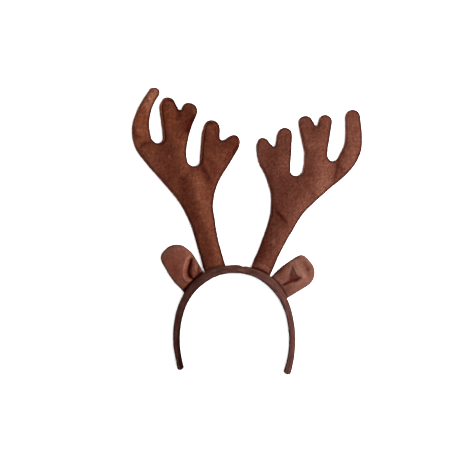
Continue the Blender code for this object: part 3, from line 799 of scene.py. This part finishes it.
# Strokes of painted shade and highlight, partly the lie of the nap, and a light fibre of lint
RIGHT_STROKES = (
    (7.5, 76, 272, 151, 1, 9), (5, 84, 285, 139, 0, 11), (11, 68, 284, 180, -5, 20, -2, 14),
    (1.8, 76, 278, 213.5, 5, 5.5, 3, 4), (6, 66, 272, 225, -6, 19, -8, 17), (3, 82, 276, 232, 1, 6),
    (4.8, 126, 306, 203, -8, 11, -8, 15, -9, 19), (2.8, 120, 260, 266, 8, 4),
    (4, 78, 303, 177, 3, 9), (8.5, 150, 325, 169, 0, 9, -3, 11), (3.2, 66, 338.5, 161, 2.5, 8),
    (3, 108, 328.5, 166, 0.5, 10), (1.4, 78, 337.2, 165, -1.2, 7, -1.6, 7),
    (7.5, 122, 350, 115, 1, 20, 5, 15, -6, 15), (2.4, 155, 303.6, 145, 0.6, 15, -0.6, 10, -3.6, 5),
    (2.4, 124, 345.6, 113, 0.2, 22), (1.4, 130, 342, 148, -4, 8), (1.4, 140, 319.6, 117, -1.4, 6),
    (1.6, 135, 257.5, 144, 1.9, 18), (4.5, 80, 281, 221, 5, 6), (4.5, 84, 265, 242, -2, 14),
    (3, 88, 276, 243, -1, 5), (5.5, 88, 284, 198, 1, 7), (3, 76, 307, 168, 2, 7),
    (4, 80, 309, 122, 5, 8), (3, 76, 271, 172, 1, 8), (4.5, 84, 297, 182, 1, 12),
    (1.4, 150, 271.5, 196, -1.5, 16, -3, 11), (1.7, 50, 262, 240, -4.5, 10, -4.7, 12),
    (1.4, 135, 256.5, 263, 6.5, 2.7, 5.5, 2.7), (6, (88, -0.5), 262, 250, -4, 10),
    (0.9, (180, 1.5), 273.5, 239, 0, 5), (1, (140, 1), 278.6, 249.5, 0.8, 1.5),
    (3.5, 76, 343, 153, 3, 4), (3, 80, 353, 113, 0, 3), (1.2, 85, 250.5, 267.5, 7.5, 2, 9, 4.5),
    (1.8, 128, 258.8, 153, 1.8, 12), (3.8, 86, 264, 154, 11, 2), (2.2, 120, 284, 174, 0.5, 5),
    (1.4, 140, 300, 121, 0.8, 6), (3, 120, 306, 152, 4, -3, 4, -5), (5, 110, 303, 144, 24, 0),
    (1.6, 115, 304, 155, 0, 13), (3.5, 83, 314, 131, 2, 6), (3, 88, 304, 128, 3, 3),
    (2.8, 80, 351, 134, 5, -4), (2.8, 122, 351, 152, 5, -1), (1.8, 122, 344, 166, 2, 1),
    (1.2, 135, 316.6, 126, 1.4, -5, 2.5, -4), (1.4, 125, 336.5, 158.5, 4.5, -6.5),
    (2.2, 120, 306, 193, 2.5, 6), (3.5, 112, 305, 205, -8, 9), (1.4, 128, 271.4, 199, 0, 7),
    (1.8, 126, 275, 252, 2, 5), (1.6, 82, 270.5, 252, 1, 6), (1.3, 140, 258, 266, 5, 2, 4.5, 2.6),
    (0.9, 60, 253, 267.2, 7, 2.6, 7, 3.2), (1.4, 74, 255.8, 262, 1.8, 2),
    (0.9, 84, 297, 213, -11, 20, -10, 21, -6, 13), (1.1, 120, 347, 114, 3, -3, 6, 0),
    (3.5, 88, 273, 182, 1, 12), (4, 88, 314, 170, 1, 7), (2.8, 84, 268, 166, 2, 4),
    (1.3, 125, 317, 125, 2.5, -5.5), (1.4, 118, 347, 116, 1, 9), (1.4, 120, 346, 132, 0.5, 10),
    (1.6, 118, 345.5, 147, -2.5, 5), (2, 112, 355, 150, 0, 7),
    (1.2, 118, 304.5, 158, -0.5, 13, -4, 4.5), (1.4, 118, 269, 179, 0.6, 8),
    (1, 120, 326, 187.5, -8, 9), (1.2, 122, 261.6, 247, 0.8, 4), (1.4, 120, 270.5, 261, 1, 2.5),
)


def flange_widths(outline, free_count, wide_lines, seed):
    """Distance from the cut edge to the stitches at each point of an outline, and 0 at its seat."""
    wide = np.zeros(len(outline))
    for pixels in wide_lines:
        wide = np.maximum(wide, bell(nearest(outline, line_at(pixels))[0], WIDE_REACH))
    kernel = np.hanning(13) / np.hanning(13).sum()
    wide = np.convolve(np.pad(wide, 6, mode="wrap"), kernel, mode="valid")
    widths = FLANGE_NARROW + (FLANGE_WIDE - FLANGE_NARROW) * wide
    widths *= 1 + 0.07 * waves_along(FELT_STEP * np.arange(len(outline)), 0.025, seed)
    widths[free_count:] = 0
    return widths


def make_stitches(name, outline, widths, free_count, surface, seed):
    """Thread stitches along the groove, on the front and on the back."""
    rng = np.random.default_rng(seed)
    row = (outline - widths[:, None] * outward_of(outline))[2 : free_count - 2]
    good = nearest(row, closed(outline))[0] > 0.95 * widths[2 : free_count - 2]
    stations = way_along(row)
    rings = np.linspace(0, 1, STITCH_RINGS)
    angles = np.linspace(0, 2 * math.pi, STITCH_SIDES, endpoint=False)
    towards_ends = (2 * rings - 1) ** 4
    radii = STITCH_RADIUS * np.sqrt(np.clip(1 - towards_ends, 0.1, 1))
    lift = STITCH_RADIUS * (0.5 - 1.6 * towards_ends)
    vertices = []
    faces = []
    for start in np.arange(0.0005, stations[-1] - STITCH_LENGTH, STITCH_PITCH):
        length = STITCH_LENGTH * rng.uniform(0.88, 1.08)
        lean = rng.uniform(-0.12, 0.12)
        along = start + length * rings
        if np.interp(along, stations, good).min() <= 0.99:
            continue
        line = read_along(along, stations, row)
        run = line[-1] - line[0]
        size = np.linalg.norm(run)
        if size < 0.5 * length:
            continue
        across = np.array((-run[1], run[0])) / size
        line = line + lean * size * (rings - 0.5)[:, None] * across
        front, back = surface(line)[:2]
        for heights in (front + lift, back - lift):
            faces += tube_faces(len(vertices), STITCH_RINGS, STITCH_SIDES)
            for centre, radius, z in zip(line, radii, heights):
                for angle in angles:
                    place = centre + radius * math.cos(angle) * across
                    vertices.append((*place, z + radius * math.sin(angle)))
    even = np.ones(len(vertices))
    add_piece(name, "brown_felt", THREAD, vertices, faces, even, 0 * even)


def make_antler(node, nudges, wide_lines, folds, strokes, haze, seam_reach, seed):
    """A felt antler: two layers stitched together inside their cut edge, with stuffing between."""
    free, seat, outline, middles = sewn_outline(node, FELT_STEP, nudges)
    free_count = len(free) - 1
    widths = flange_widths(outline, free_count, wide_lines, seed + 9)
    plump = stuffed(outline, widths, FELT_FULLNESS)
    lit = outward_of(outline) @ KEY_SIDE

    def surface(places):
        """Heights of the front and the back, the tone of each, and the haze of the front."""
        edge, along = nearest(places, free)
        base, _ = nearest(places, seat)
        width = at_stations(outline, widths, along)
        body = np.clip(edge - width, 0, None)  # distance from the stitches
        clear = eased(base / SEAT_CLEAR)
        # The flat allowance, the sunk seam and the stuffed body
        middle = np.interp(places[:, 1], *middles)
        flange = FLANGE_HALF * (0.82 + 0.18 * dome(edge / CUT_ROUNDING))
        groove = bell(edge - width, GROOVE_WIDTH) * clear
        dip = (FLANGE_HALF - GROOVE_HALF) * groove
        stuffing = (FELT_HALF - FLANGE_HALF) * plump(places) + 0.0006 * dome(body / 0.0014)
        # Its unevenness, the puckers along the seam and the tuck at the seat
        sway = 0.00030 * waves_along(along, FELT_WAVE, seed) * np.exp(-edge / 0.004)
        lumps = 0.00030 * waves(places, FELT_WAVE, seed + 1)
        lumps += 0.00012 * waves(places, 0.007, seed + 2)
        puckers = 0.00018 * waves_along(along, 0.0042, seed + 3) * np.exp(-body / 0.0028)
        tuck = 0.0006 * bell(base - 0.0045, 0.002)
        rise, shade = fold_field(places, folds)
        full = eased(body / BODY_FULL)
        front = middle + flange - dip + stuffing + sway
        front += full * (lumps + rise + puckers + tuck)
        back = middle - flange + dip - FELT_BACK_SHARE * stuffing + sway
        back += full * (0.0002 * waves(places, FELT_WAVE, seed + 5) + puckers)
        back = np.maximum(back, LOWEST)
        # The cut edge is darker, partly the felt's own cut edge and partly painted shade that grows
        # where it faces the key light; the sunk seam gets painted shade, more so where the
        # allowance is wide
        cut = bell(edge, CUT_SHADE) * (0.56 + 0.18 * at_stations(outline, lit, along))
        wide = np.clip((width - FLANGE_NARROW) / (FLANGE_WIDE - FLANGE_NARROW), 0, 1)
        line = bell(edge - width, GROOVE_WIDTH * (1 + 0.35 * wide))
        back_tone = (1 - cut) * (1 - (0.35 + 0.38 * wide) * line * clear)
        # Painted shade in the folds, random mottling, a painted shadow at the seat, and strokes of
        # painted shade and highlight
        tone = back_tone * (1 - 0.35 * np.clip(shade, 0, 1))
        tone *= 1 + 0.05 * waves(places, 0.03, seed + 7)
        mottling = 0.055 * waves(places, 0.0042, seed + 19)
        tone *= 1 + mottling + 0.035 * waves(places, 0.008, seed + 21)
        tone *= 1 - 0.6 * bell(base, 0.0012)
        tone *= 1 - 0.14 * wide * eased(edge / 0.001) * eased((width - edge) / 0.0006)
        painted_shading, front_haze = stroke_field(places, strokes, haze)
        # Random haze, and redder painted shadows along the cut edge and the wide seam
        front_haze += 0.15 * waves(places, 0.011, seed + 17) - 0.6 * cut
        front_haze -= 1.2 * wide * bell(edge - width - 0.0003, 0.0010)
        return front, back, tone * painted_shading, back_tone, front_haze

    inner = rows_and_spread(outline, FELT_INSETS, FELT_STEP, FELT_SPREAD)
    places, faces = triangulate(outline, inner)
    sheets = (places, *surface(places))
    body = close_pillow(outline, free_count, sheets, faces, seam_reach, FELT_EDGE, haze)
    piece = add_piece(node + "_felt", "brown_felt", FELT, *body, node)
    make_stitches(node + "_stitches", outline, widths, free_count, surface, seed + 13)


# Ears


def make_ear(node, nudges, folds, dents, strokes, haze, seat_shadow, seed):
    """A velour ear: padded, sewn right side in, with its pleats."""
    free, seat, outline, middles = sewn_outline(node, EAR_STEP, nudges)
    plump = stuffed(outline, np.zeros(len(outline)), EAR_FULLNESS)
    inner = rows_and_spread(outline, EAR_INSETS, EAR_STEP, EAR_STEP)
    places, faces = triangulate(outline, inner)
    edge, along = nearest(places, free)
    base, _ = nearest(places, seat)
    lumps = 0.00020 * waves(places, 0.012, seed + 1)
    full = eased(edge / 0.003) * eased(base / SEAT_CLEAR)
    rise, shade = fold_field(places, folds)
    depth, dark = dent_field(places, dents)
    # A small roll at the seam, then the padding
    middle = np.interp(places[:, 1], *middles)
    half = 0.0004 + 0.0016 * dome(edge / 0.0016) + (EAR_HALF - 0.002) * plump(places)
    front = middle + half + full * (lumps + rise) - depth
    back = np.maximum(middle - EAR_BACK_SHARE * half, LOWEST)
    front = np.maximum(front, back + 0.0008)
    # Painted shade on the rolled edge, less where it faces the key light, painted shade in the
    # folds and dents, and a painted shadow at the seat
    lit = at_stations(outline, outward_of(outline) @ KEY_SIDE, along)
    back_tone = 1 - bell(edge, 0.0007) * (0.22 - 0.18 * lit)
    shade = np.clip(shade, 0, 1)
    tone = back_tone * (1 - shade) * (1 - np.clip(dark, 0, 1))
    tone *= 1 - seat_shadow * bell(base, 0.0017)
    painted_shading, front_haze = stroke_field(places, strokes, haze)
    # Random haze, and redder painted shade in the folds
    front_haze += 0.2 * waves(places, 0.009, seed + 17) - 0.4 * shade
    sheets = (places, front, back, tone * painted_shading, back_tone, front_haze)
    body = close_pillow(outline, len(free) - 1, sheets, faces, SEAM_CONTACT, EAR_EDGE, haze)
    piece = add_piece(node + "_velour", "brown_velour", VELOUR, *body, node)


EAR_LEFT_FOLDS = (
    (1.8, 1.7, 0, 191.5, 256, -4.5, 3, -2.4, 5, -1.2, 6, 0.2, 6, 2.4, 4, 6, 0.5),
    (1.9, -2.2, 0.95, 191.9, 255.5, -0.9, 5.5, -1.8, 6, -0.8, 5.5, 1.7, 4.1, 3.9, 2),
    (1.6, 1.8, 0, 196.4, 261, -1.2, 6, 1, 6),
    (1.2, -1.2, 0.5, 199, 266, -0.4, 4, 1.4, 4),
)
EAR_LEFT_DENTS = (
    (3, 0.8, 0.12, 192, 253, -2.3, 8, -1.7, 7, -0.4, 5.5, 1.7, 4, 4.7, 3, 12, -8, -8, -10.5),
)
# Strokes of painted shade and highlight, with the painted shadow at the seat under the hoop
EAR_LEFT_STROKES = (
    (12, 68, 168, 256, 4, 12, 8, 15), (4, 86, 178, 262, 0, 10),
    (1.7, 160, 190, 256.5, -3.7, 3.5, -1.8, 5, -1, 6, 0.7, 6.5),
    (1.7, 50, 192, 265, -0.6, 5, 0.6, 5), (1.6, 130, 191.6, 256, -0.6, 5),
    (1.1, 142, 188.6, 262, -1.6, 7, 0.3, 5), (1.3, 140, 184.6, 279.6, 3.4, 1.4, 3, -0.6),
    (1.3, 72, 196, 275, 2.4, -2), (1.4, (100, -1.5), 191, 260, -1.8, 7, -0.6, 5.5, 1.9, 4),
    (2, 110, 195.6, 263, 1, 8), (1.1, 45, 190.6, 276.4, 2, 2.2, 1.4, 1),
    (8, (100, -0.4), 173, 262, 2, 9), (1.4, 127, 182.4, 263, -0.8, 7, 0.6, 7),
    (1.2, 135, 194.4, 264, -0.6, 4, 0.2, 4), (1.3, 72, 197.3, 269.5, 0.7, 3.5),
    (2.4, 80, 173, 246.5, 7, 0.5), (3.4, 87, 181, 253, 3, 4), (4, 109, 171, 262, 1, 12),
    (1.3, 125, 196.8, 262, -0.6, 5, 0.4, 4), (7.5, (100, 0.8), 164, 252, 8, -3, 8, 0),
    (1.7, 4, 183.4, 290.8, 5.4, -5.2, 4.6, -4.1, 4.2, -4.3, 4.4, -3.6),
    (1.1, 60, 160.4, 256, 3.1, -5, 4.5, -4, 7, -2.4),
)
EAR_RIGHT_FOLDS = (
    (1.5, -1.8, 0.66, 280.2, 286.4, 4.8, -2.3, 4.4, -2.2, 6.6, -1.5, 4.5, -1.8),
    (2.2, 1, 0, 284, 288.2, 10, -3.4, 9.5, -3.8),
    (2.6, 1.6, 0, 294.5, 259, 3, 7, 3.5, 5.5, 4, 6.5),
    (2.8, -0.8, 0.36, 303, 260.5, 3, 5.5, 2.2, 6.5),
)
EAR_RIGHT_DENTS = (
    (2, 1.1, 0.5, 292, 265.5, -2, 6.5, -1.6, 8.6, 7.6, -0.2, 5.6, -2.2, -4.6, -2.4, -2.6, -4.3),
)
# Strokes of painted shade and highlight, with the painted shadow along the seat
EAR_RIGHT_STROKES = (
    (2.3, (34, 1.2), 272, 276.6, 9, -9, 9, -7.8, 8, -3.8), (1.6, 80, 296, 278.4, 5, -0.6),
    (1.5, 75, 284.5, 284.2, 4.5, -2.4, 4, -2.4), (2.8, 76, 277, 277, 5, -5.5, 6, -4.5),
    (2.2, 86, 290, 274, 3, 2), (1.4, 122, 292, 262.5, -0.6, 6.5), (3.4, 114, 300, 283, 8, -2),
    (1.5, 80, 308.6, 268.5, 0.2, 6.5), (3.2, 78, 285, 291, 3.5, -4), (2, 82, 288.5, 290, 2, 4),
    (3.4, (97, 1.7), 291, 270, 2, 6), (1.2, 118, 293.4, 263, -0.4, 5, 1, 6),
    (1.2, 130, 299.5, 277.8, 3, -0.4), (1.8, 84, 280, 272.5, 3, -3), (3, 91, 284, 274, 3, 4),
    (6, (105, 0.8), 303, 263, 1, 8), (2.3, 140, 294.8, 261, 1.8, 6, 3.4, 5.5, 4.5, 3.5),
    (4, 84, 279, 272, 4, 5), (7.5, 86, 284, 267, 7, -3, 9, -2, 6, 6),
)


# Hoop


def unit_circle(angles):
    return np.column_stack((np.cos(angles), np.sin(angles)))


def squared(circle, squareness):
    """A unit circle squared off, the more the further the squareness is above 2."""
    return np.sign(circle) * np.abs(circle) ** (2 / squareness)


def hoop_line():
    """Evenly spaced points along the hoop's middle from the right end to the left end."""

    def leg(angles):
        return LEG_BEND_RADIUS * unit_circle(angles) + (HOOP_SPAN / 2 - LEG_BEND_RADIUS, 0)

    right = leg(np.linspace(-LEG_LENGTH_RIGHT / LEG_BEND_RADIUS, 0, 600, endpoint=False))
    crown = squared(unit_circle(np.linspace(0, math.pi, 2401)), HOOP_SQUARENESS)
    crown *= (HOOP_SPAN / 2, HOOP_RISE)
    left = -leg(np.linspace(0, LEG_LENGTH_LEFT / LEG_BEND_RADIUS, 601)[1:])
    path = np.concatenate((right, crown, left)) - (0, HOOP_RISE)
    along = way_along(path)
    return read_along(np.linspace(0, along[-1], 3601), along, path)


# Share of the way from the right end to the left end, and the painted light and shade of the sleeve
# there
BAND_PAINTED_LIGHT = (
    (0, 0.97), (0.1, 0.97), (0.16, 1.07), (0.24, 1.12), (0.3, 1.02), (0.36, 0.94), (0.5, 0.78),
    (0.58, 0.62), (0.66, 0.335), (0.78, 0.45), (1, 0.56),
)
# X of the crown, and how far the sleeve's outer side is drawn in there, in millimetres
PUCKER = (
    (-14, 0), (-10, -0.3), (3, -0.4), (6, -0.2), (9, 0.8), (12.5, 0), (16, 0.7), (18.5, 0.4),
    (22, 0.5), (28, 0.1), (33.5, -0.8), (36.5, -0.4), (39, 0),
)
# Strokes of painted shade and highlight on the sleeve, with the painted shadow beside the left ear
BAND_STROKES = (
    (1.5, 5, 183.7, 290.2, 4.9, -5.2, 4.2, -4, 4, -3.8, 4.8, -3.4),
    (3.4, 152, 214, 274.5, -8, 3.5, -6.5, 4, -5.5, 5, -4.5, 5, -4, 6, -2.5, 6),
    (1.3, 72, 206, 272.8, 6, -1.2), (1.2, 70, 250.5, 268, 5.5, 1.5),
    (1.2, 125, 243, 272, 7, 2.5, 8, 2.5), (1, 90, 178.8, 342, 0.4, 8, 1, 7, 1.2, 9),
    (0.9, 66, 251, 267.7, 9, 2.8, 7, 3.7), (1, 85, 250, 270.6, 6, 1.9),
    (1.4, 58, 182.5, 320, -3.5, 15, 0.5, 15, 2.5, 16),
    (1, 74, 187, 300, -3, 8, -2.4, 10, -2.6, 12, -0.6, 15), (0.6, 72, 176.3, 352, 1.7, 14),
    (0.6, 75, 178.4, 350, 1.6, 16),
)


def long_waves(arcs, loop, around, ratio, seed):
    """Waves on the sleeve that are longer along it than round it, by the ratio."""
    return waves(np.column_stack((arcs / ratio, loop)), around, seed, 40)


def make_band():
    """The padded hoop in its fabric sleeve, lofted along its middle."""
    path = hoop_line()
    bend = np.where(path[:, 0] > 0, *LEG_DRIFT_FROM)
    path[:, 0] += LEG_DRIFT * eased((bend - path[:, 1]) / LEG_DRIFT_OVER)
    share = np.linspace(0, 1, len(path))
    forward = np.gradient(path, axis=0)
    forward /= np.linalg.norm(forward, axis=1)[:, None]
    outward = np.column_stack((forward[:, 1], -forward[:, 0]))
    places, values = np.array(HOOP_SECTIONS).T
    row = np.clip(np.searchsorted(places, share, side="right") - 1, 0, len(places) - 2)
    between = eased((share - places[row]) / (places[row + 1] - places[row]))
    thickness = HOOP_THICKNESS * (values[row] + between * (values[row + 1] - values[row]))
    length = step_lengths(path).sum()
    cap = END_ROUNDING / length
    inner = np.linspace(cap, 1 - cap, BAND_RINGS)
    ends = cap * (1 - np.cos(np.linspace(0, math.pi / 2, 9)))[:-1]
    stations = np.concatenate((ends, inner, 1 - ends[::-1]))
    angle = np.linspace(0, 2 * math.pi, BAND_SIDES, endpoint=False)

    # Wrinkles and streaks that run along the sleeve, its seam inside and its gathered ends, with
    # painted light and shade
    arcs = np.repeat(stations * length, BAND_SIDES)
    angles = np.tile(angle, len(stations))
    loop = unit_circle(angles) * LOOP_RADIUS
    from_end = np.minimum(arcs, length - arcs)
    gathers = np.cos(GATHERS * angles + 0.8)
    seam = bell(angles - SEAM_ANGLE, 0.09)
    ripple = 0.00010 * long_waves(arcs, loop, 0.0032, 9, 81)
    ripple += 0.00008 * long_waves(arcs, loop, 0.0016, 8, 82)
    ripple += 0.00030 * gathers * bell(from_end, 0.014)
    ripple -= 0.0004 * seam
    tone = 1 + 0.12 * long_waves(arcs, loop, 0.0022, 8, 83)
    tone *= 1 + 0.08 * long_waves(arcs, loop, 0.0045, 1.6, 84)
    # Painted shade and highlight on the gathers at the ends, and painted light and shade along the
    # hoop
    tone *= 1 + 0.35 * bell(from_end, 0.016) * (gathers - 0.3)
    tone *= np.interp(arcs / length, *np.array(BAND_PAINTED_LIGHT).T)
    # Painted shade on the inner side of the section, more on the left leg
    tone *= 0.42 + 0.58 * eased((np.cos(angles) + 1.0) / 0.35)
    left = eased((arcs / length - 0.78) / 0.10)
    tone *= 1 - 0.5 * left * eased((0.15 - np.cos(angles)) / 0.6)
    tone *= 1 - 0.45 * seam

    # Rounded ends and rounded corners, and the sleeve drawn in between the antlers
    missing = np.maximum(0, END_ROUNDING - np.minimum(stations, 1 - stations) * length)
    inset = END_ROUNDING - np.sqrt(END_ROUNDING**2 - missing**2)
    out, up = squared(unit_circle(angle), BAND_SQUARENESS).T
    out = (np.interp(stations, share, thickness) / 2 - inset)[:, None] * out
    up = (HOOP_DEPTH / 2 - inset)[:, None] * up
    centres = read_along(stations, share, path)
    drawn = np.interp(centres[:, 0], *np.array(PUCKER).T * MM) * (centres[:, 1] > CROWN_FROM)
    out -= drawn[:, None] * eased(np.cos(angle))
    grow = 1 + ripple.reshape(out.shape) / HALF_SECTION
    facings = read_along(stations, share, outward)
    plan = centres[:, None] + (out * grow)[:, :, None] * facings[:, None]
    height = np.maximum(HOOP_DEPTH / 2 + up * grow, 0.0001)
    vertices = np.concatenate((plan, height[:, :, None]), axis=2).reshape(-1, 3)
    faces = tube_faces(0, len(stations), BAND_SIDES)
    painted_shading, haze = stroke_field(vertices[:, :2], BAND_STROKES, 0.0)
    body = (vertices, faces, tone * painted_shading, haze)
    piece = add_piece("band_sleeve", "dark_brown_fabric", BAND, *body, "headband")


make_camera()
make_stage()
# The right antler and the right ear are greyer with haze, a painted sheen of their nap
make_antler(
    "antler_left", LEFT_NUDGES, LEFT_WIDE, LEFT_FOLDS, LEFT_STROKES, 0.0, SEAM_CONTACT, 11
)
make_antler(
    "antler_right", RIGHT_NUDGES, (), RIGHT_FOLDS, RIGHT_STROKES, 1.0, SEAM_CONTACT_RIGHT, 31
)
make_ear(
    "ear_left", EAR_LEFT_NUDGES, EAR_LEFT_FOLDS, EAR_LEFT_DENTS, EAR_LEFT_STROKES, 0.0, 0.9, 51
)
make_ear(
    "ear_right", EAR_RIGHT_NUDGES, EAR_RIGHT_FOLDS, EAR_RIGHT_DENTS, EAR_RIGHT_STROKES, 1.2, 0.6, 71
)
make_band()
